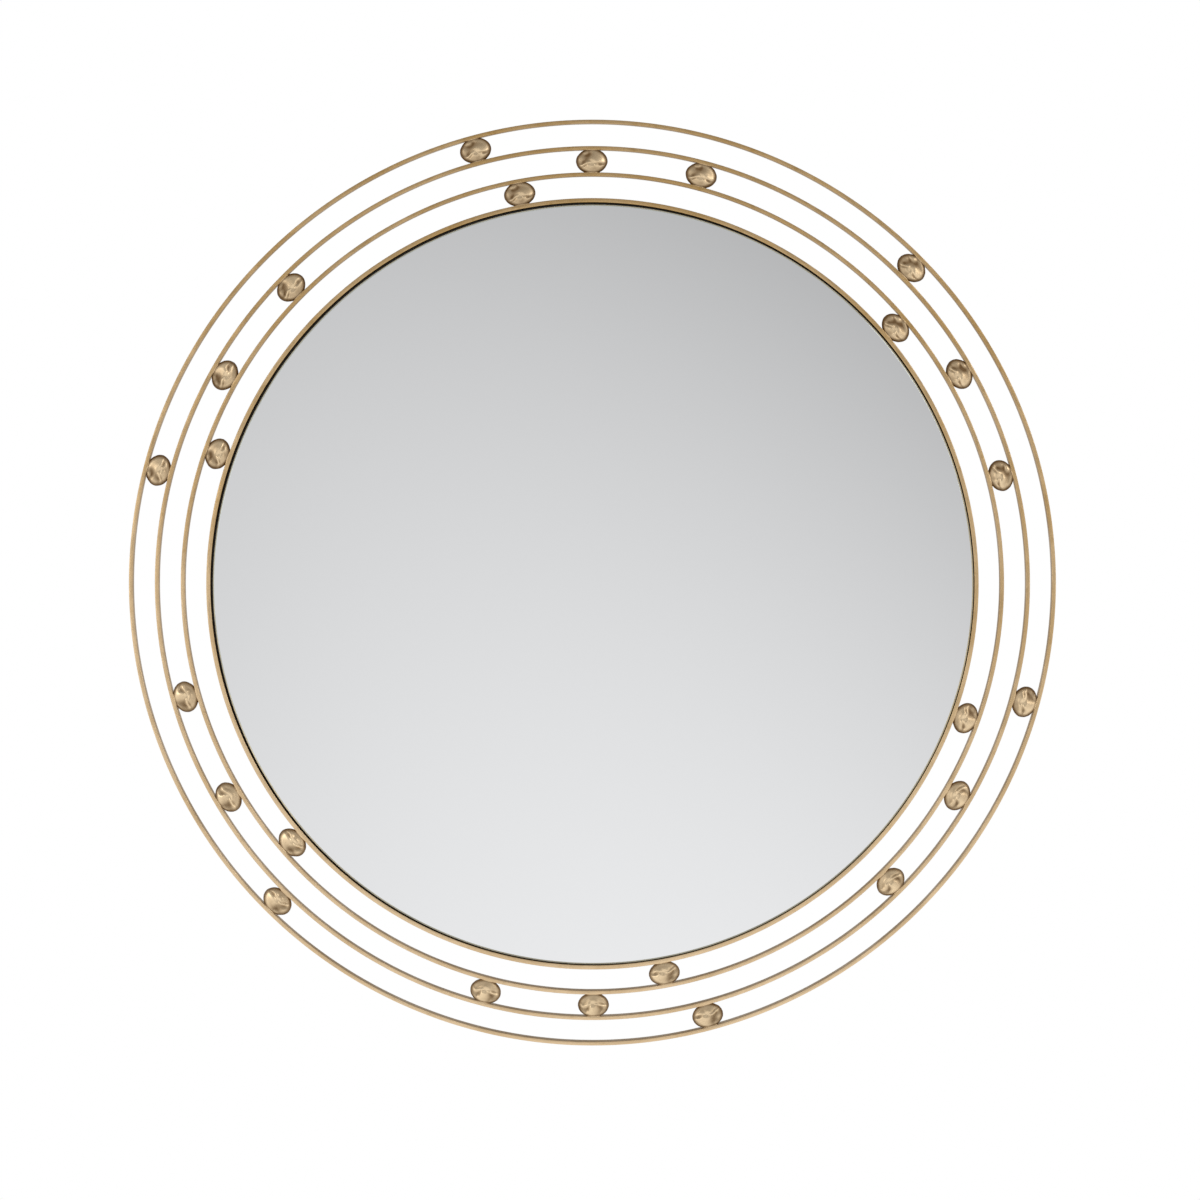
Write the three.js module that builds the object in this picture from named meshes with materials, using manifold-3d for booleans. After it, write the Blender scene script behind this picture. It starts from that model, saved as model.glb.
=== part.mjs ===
// A round wall mirror. A flat glass sits in a deep metal band, inside three concentric rings of flat strip
// set on edge, and hammered oval beads hold the rings apart. Behind the glass are its board, the lugs and
// screws that keep the board in the band, two D-ring hangers and four wall bumpers.
//
// Millimetres, +Z up. The glass faces -Y, the wall is the plane Y = 0, and the origin is the centre of the
// mirror on that plane.

import * as THREE from 'three';
import { mergeVertices } from 'three/addons/utils/BufferGeometryUtils.js';
import Module from 'manifold-3d';

const wasm = await Module();
wasm.setup();

// ---------------------------------------------------------------------------------------------------------
// Driving dimensions
// ---------------------------------------------------------------------------------------------------------

// Rings. Thickness is measured along the radius, depth from front to back.
const overallDiameter = 1000;
const stripThickness = 4;
const stripDepth = 12;
const ringGap = 24; // clear gap between neighbouring strips
const innerRingGap = 23.4; // clear gap between the third ring and the band
const frameThickness = 4.4; // the band round the glass

// Beads. Their height is the gap that they fill, and their two long sides are pressed flat by the strips.
const beadLength = 34;
const beadDepth = 14;
const beadProud = 2.5; // how far a bead's crown stands in front of the strips
const beadPress = 1.6; // how far each side is pressed in
const beadPleat = 0.045; // depth of the hammered pleats, as a part of the bead's radius
const beadPleats = 5;
const beadFold = 6; // beads of each kind round the ring
const outerBeadAngle = 45; // first bead of each kind, degrees anticlockwise from +X as seen from the front
const middleBeadAngle = 15.2;
const middlePartnerAngle = 30.1;
const innerBeadAngle = 40.5;

// Glass and board
const glassThickness = 4;
const glassRecess = 2; // glass face behind the front edges of the rings
const glassReveal = 1.7; // black gap between the band and the glass edge, with the glass centred
const glassLeastGap = 0.64; // what is left of that gap where the glass has settled towards the band
const glassSettledTowards = -41; // degrees anticlockwise from +X as seen from the front
const glassArris = 1.6; // width of the polished edge
const arrisDrop = 0.8;
const tapeThickness = 1;
const tapeCount = 4;
const tapeWidth = 25;
const tapeSpacing = 180; // centre to centre
const tapeMargin = 40; // from the tape's end to the glass edge
const boardThickness = 9;

// Lugs that hold the board
const tabCount = 6;
const tabFirstAngle = 30;
const tabThickness = 1.5;
const tabWidth = 22;
const tabLength = 34;

// Screws, one size throughout
const shankRadius = 1.75;
const headRadius = 3.6;
const headHeight = 2.2;
const headCrownRadius = 2.5; // flat top of the head
const headWall = 1.1; // straight side of the head
const tipLength = 2.5;
const recessWidth = 1;
const recessLength = 4;
const recessDepth = 1.2;
const screwCover = 2; // board left in front of each screw's tip

// D-ring hangers
const hangerSpan = 400; // between the two rings' centres
const hangerHeight = 170; // of the rings' bars above the centre
const strapThickness = 1.5;
const strapWidth = 16;
const screwPitch = 20; // between a strap's two screws
const strapEnd = 9; // from the lower screw to the strap's round end
const wireRadius = 1.75;
const loopHalfWidth = 14; // of the D, to the wire's centreline
const loopCorner = 4; // bend where the bar meets a side
const loopSide = 2; // straight part of each side
const loopSeam = 0.5; // gap where the wire's ends meet, inside the strap's curl
const curlEnd = 285; // degrees that the strap goes round the bar

// Wall bumpers
const bumperCount = 4;
const bumperFirstAngle = 45;
const bumperRadius = 11;
const bumperFaceRadius = 9.5;
const bumperHeight = 8;
const bumperInset = 30; // from the board's edge to a bumper's centre

// Clearances
const seatGap = 0.3; // between a piece and the curved face that it is welded or seated against
const boardClearance = 0.6; // round the board's edge
const holeClearance = 0.3; // round a screw's shank
const hingeClearance = 0.3; // round a D-ring's bar
const headClearance = 6; // from a hanging D-ring to the nearest screw head
const drillOverrun = 1; // how far a drill starts outside the face that it cuts

// How finely round shapes are cut into flats
const ringFlats = 120;
const beadMeridians = 14;
const beadParallels = 8;
const screwFlats = 10;
const bumperFlats = 20;
const wireQuarters = 4; // half of the flats round the wire
const wireSteps = 40;
const tabCurve = 6;
const strapCurve = 4;
const curlSteps = 10;

// ---------------------------------------------------------------------------------------------------------
// Radii and depths that follow. Depths are distances from the wall.
// ---------------------------------------------------------------------------------------------------------

const outerRadius = overallDiameter / 2;
const secondRadius = outerRadius - stripThickness - ringGap;
const thirdRadius = secondRadius - stripThickness - ringGap;
const frameRadius = thirdRadius - stripThickness - innerRingGap;
const frameInside = frameRadius - frameThickness;
const glassRadius = frameInside - glassReveal;
const boardRadius = frameInside - boardClearance;

const boardBack = bumperHeight;
const boardFront = boardBack + boardThickness;
const glassBack = boardFront + tapeThickness;
const glassFront = glassBack + glassThickness;
const ringFront = glassFront + glassRecess;
const stripBack = ringFront - stripDepth;
const tabBack = boardBack - tabThickness;
const strapBack = boardBack - strapThickness;

const tabHoleRadius = frameInside - tabLength + tabWidth / 2;
const holeRadius = shankRadius + holeClearance;

const barDepth = strapBack - hingeClearance - wireRadius;
const loopReach = loopCorner + loopSide + loopHalfWidth; // bar to the far end of the D, on centrelines
const upperScrewDrop = loopReach + wireRadius + headClearance + headRadius;
const lowerScrewDrop = upperScrewDrop + screwPitch;

// ---------------------------------------------------------------------------------------------------------
// Finishes
// ---------------------------------------------------------------------------------------------------------

const finish = (color, roughness, metalness) => () =>
  new THREE.MeshStandardMaterial({ color, roughness, metalness });

const agedBrass = finish(0xb89468, 0.38, 1);
const beadBrass = finish(0xb0946c, 0.42, 1);
const silvering = finish(0xd6d8d8, 0.02, 1);
const blackPaint = finish(0x181614, 0.8, 0);
const foamTape = finish(0xe8e6df, 0.9, 0);
const zincSteel = finish(0xb4b6b8, 0.35, 1);
const rubber = finish(0x2a2a2a, 0.85, 0);

// ---------------------------------------------------------------------------------------------------------
// Shaping. Every piece is shaped facing +Z, with the wall at Z = 0. The whole mirror is stood up at the end.
// ---------------------------------------------------------------------------------------------------------

const radians = THREE.MathUtils.degToRad;

/** A solid of revolution round the Z axis from [radius, depth] pairs. */
function turned(profile, flats) {
  const points = profile.map(([radius, depth]) => new THREE.Vector2(radius, depth));
  const body = new THREE.LatheGeometry(points, flats);
  body.rotateX(Math.PI / 2);
  return body;
}

/** Keeps only the corners of a geometry, with the shared ones merged. */
function cornersOnly(geometry) {
  const bare = geometry.clone();
  bare.deleteAttribute('normal');
  bare.deleteAttribute('uv');
  return mergeVertices(bare);
}

function toSolid(geometry) {
  const bare = cornersOnly(geometry);
  const vertProperties = new Float32Array(bare.attributes.position.array);
  const triVerts = new Uint32Array(bare.index.array);
  return new wasm.Manifold(new wasm.Mesh({ numProp: 3, vertProperties, triVerts }));
}

function toGeometry(solid) {
  const mesh = solid.getMesh();
  const geometry = new THREE.BufferGeometry();
  geometry.setAttribute('position', new THREE.BufferAttribute(new Float32Array(mesh.vertProperties), 3));
  geometry.setIndex(new THREE.BufferAttribute(new Uint32Array(mesh.triVerts), 1));
  geometry.computeVertexNormals();
  return geometry;
}

/** A rectangular band round the Z axis, such as a strip rolled on edge. */
function band(radius, thickness, back, front) {
  const inside = radius - thickness;
  const section = [[inside, back], [radius, back], [radius, front], [inside, front], [inside, back]];
  return turned(section, ringFlats);
}

/** A straight round peg along Z, used to drill holes. */
function drill(radius, from, to) {
  return turned([[0, from], [radius, from], [radius, to], [0, to]], screwFlats);
}

// ---------------------------------------------------------------------------------------------------------
// Pieces
// ---------------------------------------------------------------------------------------------------------

/** A hammered bead: X along the ring, Y along the radius, crown towards +Z. */
function beadGeometry(gap, turn) {
  const bead = cornersOnly(new THREE.SphereGeometry(1, beadMeridians, beadParallels));
  bead.rotateX(Math.PI / 2);
  const corners = bead.attributes.position;
  const corner = new THREE.Vector3();
  const halfHeight = gap / 2 + beadPress;
  const pressedAt = gap / 2 - seatGap;
  for (let i = 0; i < corners.count; i += 1) {
    corner.fromBufferAttribute(corners, i);
    const around = Math.atan2(corner.y, corner.x);
    const girth = 1 - corner.z * corner.z;
    const pleat = 1 + beadPleat * girth * Math.cos(beadPleats * around + turn);
    const radial = THREE.MathUtils.clamp(corner.y * pleat * halfHeight, -pressedAt, pressedAt);
    corners.setXYZ(i, corner.x * pleat * beadLength / 2, radial, corner.z * beadDepth / 2);
  }
  bead.computeVertexNormals();
  return bead;
}

function glassGeometry() {
  return turned([
    [0, glassBack],
    [glassRadius, glassBack],
    [glassRadius, glassFront - arrisDrop],
    [glassRadius - glassArris, glassFront],
    [0, glassFront],
  ], ringFlats);
}

/** The board, drilled from behind at each [x, y] that takes a screw. */
function boardGeometry(screws) {
  const disc = [[0, boardBack], [boardRadius, boardBack], [boardRadius, boardFront], [0, boardFront]];
  let board = toSolid(turned(disc, ringFlats));
  const drilledTo = boardFront - screwCover + holeClearance;
  for (const [x, y] of screws) {
    const hole = drill(holeRadius, boardBack - drillOverrun, drilledTo);
    hole.translate(x, y, 0);
    board = board.subtract(toSolid(hole));
  }
  return toGeometry(board);
}

function tapeGeometry(x) {
  const edge = Math.abs(x) + tapeWidth / 2;
  const length = 2 * (Math.sqrt(glassRadius * glassRadius - edge * edge) - tapeMargin);
  const tape = new THREE.BoxGeometry(tapeWidth, length, tapeThickness);
  tape.translate(x, 0, boardFront + tapeThickness / 2);
  return tape;
}

/** A lug on the +X axis: its outer end follows the band, its inner end is round and has the screw hole. */
function tabGeometry() {
  const seat = frameInside - seatGap;
  const half = tabWidth / 2;
  const spread = Math.asin(half / seat);
  const outline = new THREE.Shape();
  outline.moveTo(tabHoleRadius, -half);
  outline.absarc(0, 0, seat, -spread, spread, false);
  outline.lineTo(tabHoleRadius, half);
  outline.absarc(tabHoleRadius, 0, half, Math.PI / 2, Math.PI * 1.5, false);
  const hole = new THREE.Path();
  hole.absarc(tabHoleRadius, 0, holeRadius, 0, Math.PI * 2, true);
  outline.holes.push(hole);
  const tab = new THREE.ExtrudeGeometry(outline, {
    depth: tabThickness,
    bevelEnabled: false,
    curveSegments: tabCurve,
  });
  tab.translate(0, 0, tabBack);
  return tab;
}

/** A pan head screw along Z, its head's bearing face at seat and its tip inside the board. */
function screwGeometry(seat) {
  const tip = boardFront - screwCover;
  const body = toSolid(turned([
    [0, seat - headHeight],
    [headCrownRadius, seat - headHeight],
    [headRadius, seat - headWall],
    [headRadius, seat],
    [shankRadius, seat],
    [shankRadius, tip - tipLength],
    [0, tip],
  ], screwFlats));
  const slot = new THREE.BoxGeometry(recessLength, recessWidth, recessDepth * 2);
  slot.translate(0, 0, seat - headHeight);
  const crossSlot = slot.clone();
  crossSlot.rotateZ(Math.PI / 2);
  return toGeometry(body.subtract(toSolid(slot).add(toSolid(crossSlot))));
}

/** A hanger strap: a plate on the board's back, hanging down from a curl round the ring's bar at Y = 0. */
function strapGeometry() {
  const half = strapWidth / 2;
  const plateEnd = -lowerScrewDrop - strapEnd + half;
  const outline = new THREE.Shape();
  outline.moveTo(half, 0);
  outline.lineTo(-half, 0);
  outline.lineTo(-half, plateEnd);
  outline.absarc(0, plateEnd, half, Math.PI, Math.PI * 2, false);
  outline.closePath();
  const plate = new THREE.ExtrudeGeometry(outline, {
    depth: strapThickness,
    bevelEnabled: false,
    curveSegments: strapCurve,
  });
  plate.translate(0, 0, strapBack);

  const inner = wireRadius + hingeClearance;
  const outer = inner + strapThickness;
  const side = new THREE.Shape();
  side.moveTo(inner, -strapThickness);
  side.lineTo(outer, -strapThickness);
  side.absarc(0, 0, outer, 0, radians(curlEnd), false);
  side.absarc(0, 0, inner, radians(curlEnd), 0, true);
  side.closePath();
  const curl = new THREE.ExtrudeGeometry(side, {
    depth: strapWidth,
    bevelEnabled: false,
    curveSegments: curlSteps,
  });
  curl.translate(0, 0, -half);
  curl.rotateY(-Math.PI / 2);
  curl.translate(0, 0, barDepth);

  let strap = toSolid(plate).add(toSolid(curl));
  for (const drop of [upperScrewDrop, lowerScrewDrop]) {
    const hole = drill(holeRadius, strapBack - drillOverrun, boardBack + drillOverrun);
    hole.translate(0, -drop, 0);
    strap = strap.subtract(toSolid(hole));
  }
  return toGeometry(strap);
}

/** A D-ring hanging from its bar, which lies along X at Y = 0. Its wire starts and ends inside the curl. */
function hangerRingGeometry() {
  const centreline = new THREE.Path();
  const cornerX = loopHalfWidth - loopCorner;
  const bowlY = -loopCorner - loopSide;
  centreline.moveTo(loopSeam / 2, 0);
  centreline.lineTo(cornerX, 0);
  centreline.absarc(cornerX, -loopCorner, loopCorner, Math.PI / 2, 0, true);
  centreline.lineTo(loopHalfWidth, bowlY);
  centreline.absarc(0, bowlY, loopHalfWidth, 0, -Math.PI, true);
  centreline.lineTo(-loopHalfWidth, -loopCorner);
  centreline.absarc(-cornerX, -loopCorner, loopCorner, Math.PI, Math.PI / 2, true);
  centreline.lineTo(-loopSeam / 2, 0);
  const stations = centreline.getSpacedPoints(wireSteps);
  const route = new THREE.CatmullRomCurve3(stations.map(({ x, y }) => new THREE.Vector3(x, y, barDepth)));
  const section = new THREE.Shape();
  section.absarc(0, 0, wireRadius, 0, Math.PI * 2, false);
  return new THREE.ExtrudeGeometry(section, {
    steps: wireSteps,
    extrudePath: route,
    curveSegments: wireQuarters,
  });
}

function bumperGeometry() {
  return turned([
    [0, 0],
    [bumperFaceRadius, 0],
    [bumperRadius, boardBack],
    [0, boardBack],
  ], bumperFlats);
}

// ---------------------------------------------------------------------------------------------------------
// Assembly
// ---------------------------------------------------------------------------------------------------------

const mirror = new THREE.Group();
mirror.rotation.x = Math.PI / 2;

function addPiece(name, geometry, material) {
  const piece = new THREE.Mesh(geometry, material());
  piece.name = name;
  mirror.add(piece);
  return piece;
}

/** A point of the given radius, at an angle in degrees. */
function around(radius, degrees) {
  return [radius * Math.cos(radians(degrees)), radius * Math.sin(radians(degrees))];
}

function addRings() {
  addPiece('outer_ring', band(outerRadius, stripThickness, stripBack, ringFront), agedBrass);
  addPiece('second_ring', band(secondRadius, stripThickness, stripBack, ringFront), agedBrass);
  addPiece('third_ring', band(thirdRadius, stripThickness, stripBack, ringFront), agedBrass);
  addPiece('mirror_frame_ring', band(frameRadius, frameThickness, tabBack, ringFront), agedBrass);
}

/** One row of beads in the gap outside the ring of the given radius, numbered anticlockwise. */
function addBeads(rowName, ringRadius, gap, firstAngles) {
  let number = 0;
  for (let fold = 0; fold < beadFold; fold += 1) {
    for (const firstAngle of firstAngles) {
      const angle = firstAngle + fold * 360 / beadFold;
      number += 1;
      const bead = addPiece(`${rowName}_${number}`, beadGeometry(gap, radians(angle)), beadBrass);
      const [x, y] = around(ringRadius + gap / 2, angle);
      bead.position.set(x, y, ringFront + beadProud - beadDepth / 2);
      bead.rotation.z = radians(angle - 90);
    }
  }
}

/** The glass lies a little off the centre, because it has settled in its band. */
function addGlassAndBoard(screws) {
  const [glassX, glassY] = around(glassReveal - glassLeastGap, glassSettledTowards);
  addPiece('mirror_glass', glassGeometry(), silvering).position.set(glassX, glassY, 0);
  addPiece('backing_board', boardGeometry(screws), blackPaint);
  for (let i = 0; i < tapeCount; i += 1) {
    const x = (i - (tapeCount - 1) / 2) * tapeSpacing;
    addPiece(`mirror_tape_${i + 1}`, tapeGeometry(x), foamTape);
  }
}

/** Lugs and their screws. Gives back where the screws are. */
function addTabs() {
  const screws = [];
  for (let i = 0; i < tabCount; i += 1) {
    const angle = tabFirstAngle + i * 360 / tabCount;
    const tab = addPiece(`board_tab_${i + 1}`, tabGeometry(), agedBrass);
    tab.rotation.z = radians(angle);
    const [x, y] = around(tabHoleRadius, angle);
    const screw = addPiece(`tab_screw_${i + 1}`, screwGeometry(tabBack), zincSteel);
    screw.position.set(x, y, 0);
    screws.push([x, y]);
  }
  return screws;
}

/** Both D-ring hangers with their screws. Gives back where the screws are. */
function addHangers() {
  const screws = [];
  for (const [side, x] of [['left', -hangerSpan / 2], ['right', hangerSpan / 2]]) {
    addPiece(`hanger_strap_${side}`, strapGeometry(), zincSteel).position.set(x, hangerHeight, 0);
    addPiece(`hanger_ring_${side}`, hangerRingGeometry(), zincSteel).position.set(x, hangerHeight, 0);
    for (const [level, drop] of [['upper', upperScrewDrop], ['lower', lowerScrewDrop]]) {
      const y = hangerHeight - drop;
      addPiece(`hanger_screw_${side}_${level}`, screwGeometry(strapBack), zincSteel).position.set(x, y, 0);
      screws.push([x, y]);
    }
  }
  return screws;
}

function addBumpers() {
  for (let i = 0; i < bumperCount; i += 1) {
    const [x, y] = around(boardRadius - bumperInset, bumperFirstAngle + i * 360 / bumperCount);
    addPiece(`wall_bumper_${i + 1}`, bumperGeometry(), rubber).position.set(x, y, 0);
  }
}

addRings();
addBeads('outer_bead', secondRadius, ringGap, [outerBeadAngle]);
addBeads('middle_bead', thirdRadius, ringGap, [middleBeadAngle, middlePartnerAngle]);
addBeads('inner_bead', frameRadius, innerRingGap, [innerBeadAngle]);
const screwPlaces = [...addTabs(), ...addHangers()];
addGlassAndBoard(screwPlaces);
addBumpers();

const wholeMirror = new THREE.Group();
wholeMirror.name = 'ring_mirror';
wholeMirror.add(mirror);

export default wholeMirror;
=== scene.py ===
"""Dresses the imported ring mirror: brass rings, hammered beads, glass, board and hangers, and its studio."""

import math

import bmesh
import bpy
from bpy.props import FloatProperty, FloatVectorProperty, IntProperty, PointerProperty
from mathutils import Matrix, Vector


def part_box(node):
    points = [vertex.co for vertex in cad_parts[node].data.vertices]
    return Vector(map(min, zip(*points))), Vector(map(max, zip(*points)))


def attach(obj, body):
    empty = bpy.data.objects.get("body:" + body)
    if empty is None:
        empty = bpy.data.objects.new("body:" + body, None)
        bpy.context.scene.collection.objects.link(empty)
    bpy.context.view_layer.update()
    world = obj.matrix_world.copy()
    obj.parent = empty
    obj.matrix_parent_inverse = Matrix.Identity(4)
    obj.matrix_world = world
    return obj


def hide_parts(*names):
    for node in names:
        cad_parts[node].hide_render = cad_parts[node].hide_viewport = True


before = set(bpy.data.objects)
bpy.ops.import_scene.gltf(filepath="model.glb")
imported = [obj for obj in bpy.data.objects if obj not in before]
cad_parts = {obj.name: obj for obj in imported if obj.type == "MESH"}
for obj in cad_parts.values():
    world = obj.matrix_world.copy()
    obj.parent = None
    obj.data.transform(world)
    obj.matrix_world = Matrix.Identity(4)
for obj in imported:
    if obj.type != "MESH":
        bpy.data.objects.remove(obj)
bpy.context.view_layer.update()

bl_info = {
    "name": "Ring Mirror",
    "version": (1, 0, 0),
    "blender": (4, 5, 0),
    "location": "3D View > Sidebar > Ring Mirror",
    "description": "Dresses a round brass ring mirror and sets it in a plain studio",
    "category": "Object",
}

BODY = "mirror"
FOLDS = 6  # times that the mirror's pattern repeats in one turn
TURN = math.tau
QUARTER = math.pi / 2
UPRIGHT = (QUARTER, 0.0, 0.0)  # stands up what was made flat with its front towards +Z
TOUCHING = 1e-6  # metres between points that count as one
FLAT_AREA = 1e-4  # square metres from which a face counts as flat and isn't shaded smooth
GLOSS_BELOW = 0.93  # level that gloss sees in the floor and in the room low down
WELD_OVAL = (0.0081, 0.0040, 0.0040)  # half length and half height of a bead's weld, in metres
WELD_WOBBLE = 0.0007  # metres between a weld's lumps and hollows


# What the frame says

def reach(node):
    """Outer radius of a node that is round about the Y axis."""
    low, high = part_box(node)
    return (high.x - low.x) / 2


def back_of(node):
    """A node's back, as a distance from the wall."""
    return -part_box(node)[1].y


def front_of(node):
    """A node's front, as a distance from the wall."""
    return -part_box(node)[0].y


def middle(node):
    low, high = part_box(node)
    return (low + high) / 2


# Settings

def length(label, text, value):
    return FloatProperty(name=label, description=text, default=value, unit="LENGTH", precision=5)


def factor(label, text, value):
    return FloatProperty(name=label, description=text, default=value, min=0.0, max=1.0, subtype="FACTOR")


def angle(label, text, degrees):
    return FloatProperty(name=label, description=text, default=math.radians(degrees), unit="ROTATION")


def colour(label, text, value):
    return FloatVectorProperty(
        name=label, description=text, default=value, subtype="COLOR", size=3, min=0.0, max=1.0)


class RingMirrorSizes(bpy.types.PropertyGroup):
    """Sizes of the mirror's pieces, in metres"""

    strip_thickness: length("Strip thickness", "Thickness of the three outer strips", 0.004)
    band_thickness: length("Band thickness", "Thickness of the band round the glass", 0.0044)
    strip_arris: length("Strip arris", "Rounding of the long edges of the strips", 0.0005)
    strip_wander: length("Strip wander", "How far a rolled strip strays from a true circle", 0.00015)
    ring_steps: IntProperty(name="Ring steps", description="Steps round each ring", default=540, min=24)

    bead_length: length("Bead length", "Length of a bead along the ring", 0.034)
    bead_press: length("Bead press", "How far the strips press each side of a bead in", 0.0016)
    bead_embed: length("Bead embed", "How far a pressed side stands in its strip", 0.0001)
    outer_bead_angle: angle("Outer bead angle", "First bead of the outer gap", 45.0)
    middle_bead_angle: angle("Middle bead angle", "First bead of the middle gap", 15.2)
    middle_partner_angle: angle("Middle partner angle", "Second bead of the middle gap", 30.1)
    inner_bead_angle: angle("Inner bead angle", "First bead of the inner gap", 40.5)
    fold_depth: length("Fold depth", "Depth of the folds hammered into a bead", 0.0021)
    dent_depth: length("Dent depth", "Depth of the broad dents between the folds", 0.0004)
    weld_radius: length("Weld radius", "Radius of the weld round each pressed side", 0.0005)

    glass_arris: length("Glass arris", "Width of the polished edge of the glass", 0.0016)
    arris_drop: length("Arris drop", "Depth of the polished edge of the glass", 0.0008)
    board_edge: length("Board edge", "Rounding of the edges of the board", 0.001)

    tab_width: length("Lug width", "Width of the lugs that hold the board", 0.022)
    tab_length: length("Lug length", "Length of the lugs that hold the board", 0.034)
    strap_width: length("Strap width", "Width of a hanger's strap", 0.016)
    sheet_thickness: length("Sheet thickness", "Thickness of the lugs and straps", 0.0015)
    bar_height: length("Bar height", "Height of the hanger bars above the centre", 0.17)
    wire_radius: length("Wire radius", "Radius of the wire of the D-rings", 0.00175)
    loop_half_width: length("Loop half width", "Half the width of a D-ring, at its wire's middle", 0.014)
    loop_corner: length("Loop corner", "Bend of a D-ring's wire beside its bar", 0.004)
    loop_side: length("Loop side", "Straight part of a D-ring's sides", 0.002)
    hinge_clearance: length("Hinge clearance", "Gap round a D-ring's bar", 0.0003)
    head_radius: length("Screw head radius", "Radius of the pan head screws", 0.0036)
    head_height: length("Screw head height", "Height of the pan head screws", 0.0022)


class RingMirrorFinishes(bpy.types.PropertyGroup):
    """Colours and gloss of the mirror's finishes"""

    brass: colour("Brass", "Rubbed brass of the rings", (0.85, 0.64, 0.40))
    # Dark end of the rings' brass: wax, and also the colour of the painted shade on inward faces and towards the
    # top.
    brass_patina_and_shade: colour("Brass patina", "Dark wax left on the brass", (0.40, 0.225, 0.045))
    brass_roughness: factor("Brass roughness", "Roughness of the rings", 0.29)
    bead_brass: colour("Bead brass", "Rubbed brass of the beads", (0.94, 0.73, 0.47))
    # Dark end of the beads' brass: wax, and also the colour of their painted shade in the folds, at the rim and
    # towards the top.
    bead_patina_and_shade: colour("Bead patina", "Dark wax in the folds of the beads", (0.14, 0.076, 0.026))
    bead_roughness: factor("Bead roughness", "Roughness of the beads", 0.29)
    silver: colour("Silver", "Colour that the mirror reflects", (0.875, 0.882, 0.893))
    glass_edge: colour("Glass edge", "Polished edge of the glass", (0.62, 0.68, 0.66))
    mirror_back: colour("Mirror back", "Paint on the back of the glass", (0.30, 0.31, 0.32))
    board: colour("Board", "Paint on the backing board", (0.012, 0.011, 0.010))
    steel: colour("Steel", "Zinc plate of the screws and hangers", (0.62, 0.63, 0.65))
    steel_roughness: factor("Steel roughness", "Roughness of the zinc plate", 0.33)
    foam: colour("Foam", "Foam tape behind the glass", (0.78, 0.77, 0.73))
    rubber: colour("Rubber", "Rubber of the wall bumpers", (0.020, 0.020, 0.021))


class RingMirrorStudio(bpy.types.PropertyGroup):
    """Camera, floor, lamps and surroundings"""

    camera_distance: length("Camera distance", "From the camera to the mirror", 3.30)
    camera_pitch: angle("Camera pitch", "How far the camera looks down", 3.0)
    aim_right: length("Aim to the right", "How far right of the centre the camera looks", 0.008)
    aim_down: length("Aim below", "How far below the centre the camera looks", 0.0145)
    lens: FloatProperty(name="Lens", description="Focal length of the camera", default=91.79, unit="CAMERA")
    floor_height: length("Floor height", "Height of the floor, from the mirror's centre", -1.45)
    floor_radius: length("Floor radius", "Radius of the pale floor", 1.9)
    floor_tone: colour("Floor tone", "Colour of the floor", (0.86, 0.86, 0.855))
    surroundings: factor("Surroundings", "Level of the light from all round", 0.86)
    lamp_power: FloatProperty(
        name="Lamp power", description="Power of the stronger of the two lamps", default=20.0, unit="POWER")


SIZES = "ring_mirror_sizes"
FINISHES = "ring_mirror_finishes"
STUDIO = "ring_mirror_studio"


# Node trees

class Nodes:
    """Adds nodes to a tree. A socket is linked, None is left out, and any other value is set."""

    def __init__(self, tree):
        self.tree = tree

    def add(self, kind, inputs=(), **settings):
        node = self.tree.nodes.new(kind)
        for name, value in settings.items():
            setattr(node, name, value)
        pairs = inputs.items() if isinstance(inputs, dict) else enumerate(inputs)
        for key, value in pairs:
            if isinstance(value, bpy.types.NodeSocket):
                self.tree.links.new(value, node.inputs[key])
            elif value is not None:
                node.inputs[key].default_value = value
        return node

    def put(self, kind, inputs=(), **settings):
        """Adds a node and gives back its first output."""
        return self.add(kind, inputs, **settings).outputs[0]

    def math(self, operation, *values):
        return self.put("ShaderNodeMath", values, operation=operation)

    def plus(self, a, b):
        return self.math("ADD", a, b)

    def minus(self, a, b):
        return self.math("SUBTRACT", a, b)

    def times(self, a, b):
        return self.math("MULTIPLY", a, b)

    def over(self, a, b):
        return self.math("DIVIDE", a, b)

    def signed_power(self, value, exponent):
        """The value's size to a power, with its sign kept."""
        size = self.math("POWER", self.math("ABSOLUTE", value), exponent)
        return self.times(self.math("SIGN", value), size)

    def hypotenuse(self, a, b):
        return self.math("SQRT", self.plus(self.times(a, a), self.times(b, b)))

    def ease(self, value, start, end, first=0.0, last=1.0):
        """Goes smoothly from first to last as the value goes from start to end."""
        values = (value, start, end, first, last)
        return self.add("ShaderNodeMapRange", values, interpolation_type="SMOOTHSTEP").outputs[0]

    def vector(self, x, y, z):
        return self.add("ShaderNodeCombineXYZ", (x, y, z)).outputs[0]

    def split(self, vector):
        return tuple(self.add("ShaderNodeSeparateXYZ", (vector,)).outputs)

    def noise(self, vector, scale, detail=3.0, w=None):
        """Noise from 0 to 1. With w it is four-dimensional."""
        inputs = {"Vector": vector, "Scale": scale, "Detail": detail, "W": w}
        return self.put("ShaderNodeTexNoise", inputs, noise_dimensions="3D" if w is None else "4D")

    def blend(self, amount, first, second):
        """Mixes two colours."""
        values = {0: amount, 6: first, 7: second}
        return self.add("ShaderNodeMix", values, data_type="RGBA").outputs[2]

    def bump(self, height, strength, distance, under=None):
        values = {"Height": height, "Strength": strength, "Distance": distance, "Normal": under}
        return self.put("ShaderNodeBump", values)


SOCKETS = {
    float: "NodeSocketFloat",
    int: "NodeSocketInt",
    "object": "NodeSocketObject",
    "material": "NodeSocketMaterial",
    "vector": "NodeSocketVector",
}


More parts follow.
